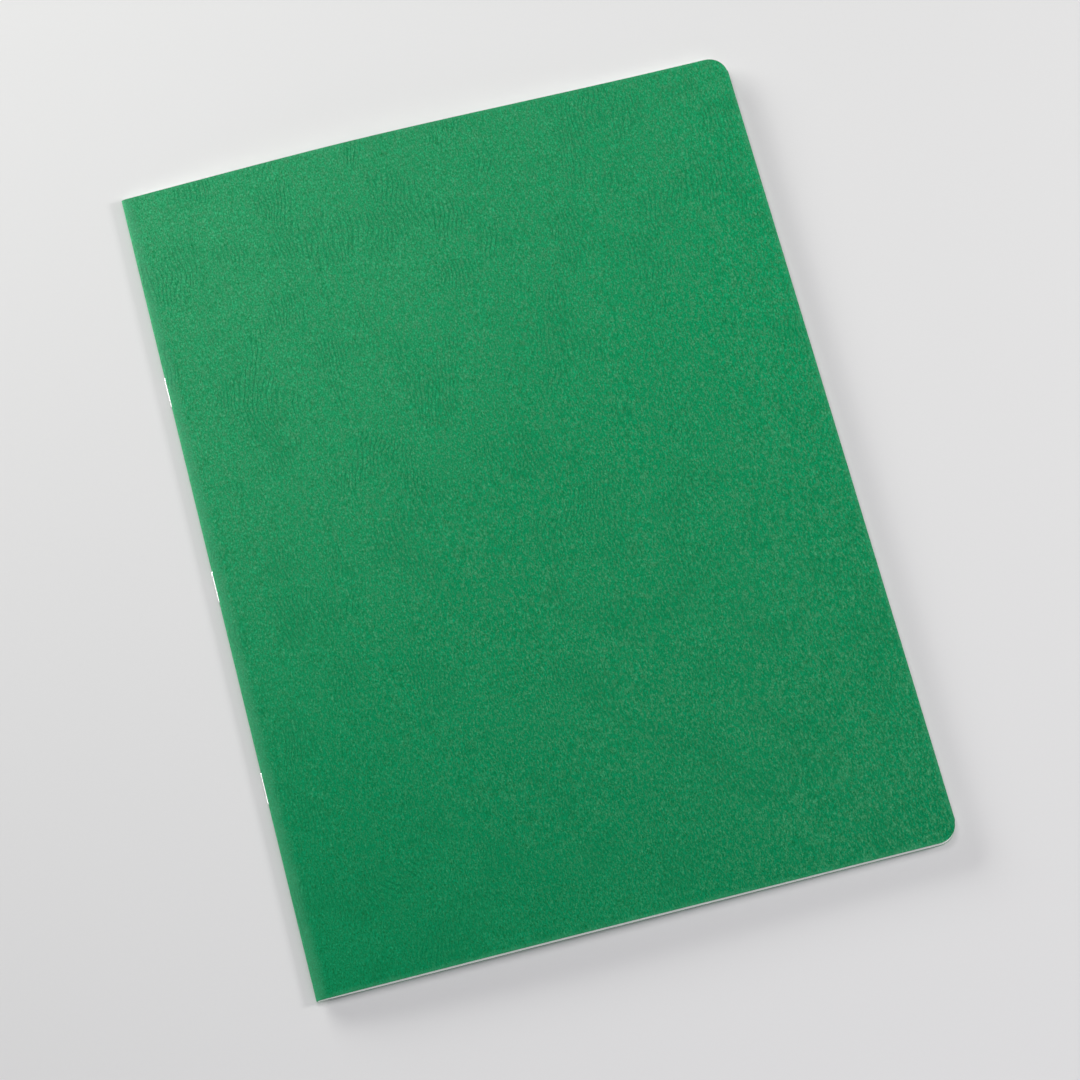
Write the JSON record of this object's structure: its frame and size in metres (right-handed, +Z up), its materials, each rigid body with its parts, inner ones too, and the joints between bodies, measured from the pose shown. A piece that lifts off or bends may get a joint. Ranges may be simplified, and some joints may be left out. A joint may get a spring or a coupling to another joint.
{
  "type": "exercise book",
  "caption": "Stapled exercise book with a folded green card cover, folded paper sheets that turn leaf by leaf, and wire staples through the spine.",
  "frame": {"origin": "middle of the closed book's bounding box, on the plane that the back cover rests on", "axes": "+X from the spine to the fore edge, +Y from tail to head, +Z up through the closed book"},
  "size_m": [0.2302, 0.315, 0.0032],
  "materials": {
    "cover_card": "dyed card embossed with a fine leather grain, satin",
    "paper": "uncoated writing paper, matt",
    "staple_wire": "drawn galvanised stitching wire, bright"
  },
  "bodies": {
    "back_cover": {"back_cover": "cover_card"},
    "leaf_24": {"leaf_24": "paper"},
    "leaf_23": {"leaf_23": "paper"},
    "leaf_22": {"leaf_22": "paper"},
    "leaf_21": {"leaf_21": "paper"},
    "leaf_20": {"leaf_20": "paper"},
    "leaf_19": {"leaf_19": "paper"},
    "leaf_18": {"leaf_18": "paper"},
    "leaf_17": {"leaf_17": "paper"},
    "leaf_16": {"leaf_16": "paper"},
    "leaf_15": {"leaf_15": "paper"},
    "leaf_14": {"leaf_14": "paper"},
    "leaf_13": {"leaf_13": "paper", "staple_1": "staple_wire", "staple_2": "staple_wire", "staple_3": "staple_wire"},
    "leaf_12": {"leaf_12": "paper"},
    "leaf_11": {"leaf_11": "paper"},
    "leaf_10": {"leaf_10": "paper"},
    "leaf_09": {"leaf_09": "paper"},
    "leaf_08": {"leaf_08": "paper"},
    "leaf_07": {"leaf_07": "paper"},
    "leaf_06": {"leaf_06": "paper"},
    "leaf_05": {"leaf_05": "paper"},
    "leaf_04": {"leaf_04": "paper"},
    "leaf_03": {"leaf_03": "paper"},
    "leaf_02": {"leaf_02": "paper"},
    "leaf_01": {"leaf_01": "paper"},
    "front_cover": {"front_cover": "cover_card"}
  },
  "joints": [
    {"name": "leaf_24_turn", "type": "hinge", "parent": "back_cover", "child": "leaf_24", "pos_m": [-0.11485, 0, 0.0016], "axis": [0, -1, 0], "range_deg": [0, 180]},
    {"name": "leaf_23_turn", "type": "hinge", "parent": "leaf_24", "child": "leaf_23", "pos_m": [-0.11485, 0, 0.0016], "axis": [0, -1, 0], "range_deg": [0, 180]},
    {"name": "leaf_22_turn", "type": "hinge", "parent": "leaf_23", "child": "leaf_22", "pos_m": [-0.11485, 0, 0.0016], "axis": [0, -1, 0], "range_deg": [0, 180]},
    {"name": "leaf_21_turn", "type": "hinge", "parent": "leaf_22", "child": "leaf_21", "pos_m": [-0.11485, 0, 0.0016], "axis": [0, -1, 0], "range_deg": [0, 180]},
    {"name": "leaf_20_turn", "type": "hinge", "parent": "leaf_21", "child": "leaf_20", "pos_m": [-0.11485, 0, 0.0016], "axis": [0, -1, 0], "range_deg": [0, 180]},
    {"name": "leaf_19_turn", "type": "hinge", "parent": "leaf_20", "child": "leaf_19", "pos_m": [-0.11485, 0, 0.0016], "axis": [0, -1, 0], "range_deg": [0, 180]},
    {"name": "leaf_18_turn", "type": "hinge", "parent": "leaf_19", "child": "leaf_18", "pos_m": [-0.11485, 0, 0.0016], "axis": [0, -1, 0], "range_deg": [0, 180]},
    {"name": "leaf_17_turn", "type": "hinge", "parent": "leaf_18", "child": "leaf_17", "pos_m": [-0.11485, 0, 0.0016], "axis": [0, -1, 0], "range_deg": [0, 180]},
    {"name": "leaf_16_turn", "type": "hinge", "parent": "leaf_17", "child": "leaf_16", "pos_m": [-0.11485, 0, 0.0016], "axis": [0, -1, 0], "range_deg": [0, 180]},
    {"name": "leaf_15_turn", "type": "hinge", "parent": "leaf_16", "child": "leaf_15", "pos_m": [-0.11485, 0, 0.0016], "axis": [0, -1, 0], "range_deg": [0, 180]},
    {"name": "leaf_14_turn", "type": "hinge", "parent": "leaf_15", "child": "leaf_14", "pos_m": [-0.11485, 0, 0.0016], "axis": [0, -1, 0], "range_deg": [0, 180]},
    {"name": "leaf_13_turn", "type": "hinge", "parent": "leaf_14", "child": "leaf_13", "pos_m": [-0.11485, 0, 0.0016], "axis": [0, -1, 0], "range_deg": [0, 180]},
    {"name": "leaf_12_turn", "type": "hinge", "parent": "leaf_13", "child": "leaf_12", "pos_m": [-0.11485, 0, 0.0016], "axis": [0, -1, 0], "range_deg": [0, 180]},
    {"name": "leaf_11_turn", "type": "hinge", "parent": "leaf_12", "child": "leaf_11", "pos_m": [-0.11485, 0, 0.0016], "axis": [0, -1, 0], "range_deg": [0, 180]},
    {"name": "leaf_10_turn", "type": "hinge", "parent": "leaf_11", "child": "leaf_10", "pos_m": [-0.11485, 0, 0.0016], "axis": [0, -1, 0], "range_deg": [0, 180]},
    {"name": "leaf_09_turn", "type": "hinge", "parent": "leaf_10", "child": "leaf_09", "pos_m": [-0.11485, 0, 0.0016], "axis": [0, -1, 0], "range_deg": [0, 180]},
    {"name": "leaf_08_turn", "type": "hinge", "parent": "leaf_09", "child": "leaf_08", "pos_m": [-0.11485, 0, 0.0016], "axis": [0, -1, 0], "range_deg": [0, 180]},
    {"name": "leaf_07_turn", "type": "hinge", "parent": "leaf_08", "child": "leaf_07", "pos_m": [-0.11485, 0, 0.0016], "axis": [0, -1, 0], "range_deg": [0, 180]},
    {"name": "leaf_06_turn", "type": "hinge", "parent": "leaf_07", "child": "leaf_06", "pos_m": [-0.11485, 0, 0.0016], "axis": [0, -1, 0], "range_deg": [0, 180]},
    {"name": "leaf_05_turn", "type": "hinge", "parent": "leaf_06", "child": "leaf_05", "pos_m": [-0.11485, 0, 0.0016], "axis": [0, -1, 0], "range_deg": [0, 180]},
    {"name": "leaf_04_turn", "type": "hinge", "parent": "leaf_05", "child": "leaf_04", "pos_m": [-0.11485, 0, 0.0016], "axis": [0, -1, 0], "range_deg": [0, 180]},
    {"name": "leaf_03_turn", "type": "hinge", "parent": "leaf_04", "child": "leaf_03", "pos_m": [-0.11485, 0, 0.0016], "axis": [0, -1, 0], "range_deg": [0, 180]},
    {"name": "leaf_02_turn", "type": "hinge", "parent": "leaf_03", "child": "leaf_02", "pos_m": [-0.11485, 0, 0.0016], "axis": [0, -1, 0], "range_deg": [0, 180]},
    {"name": "leaf_01_turn", "type": "hinge", "parent": "leaf_02", "child": "leaf_01", "pos_m": [-0.11485, 0, 0.0016], "axis": [0, -1, 0], "range_deg": [0, 180]},
    {"name": "front_cover_open", "type": "hinge", "parent": "leaf_01", "child": "front_cover", "pos_m": [-0.11485, 0, 0.0016], "axis": [0, -1, 0], "range_deg": [0, 180]}
  ]
}
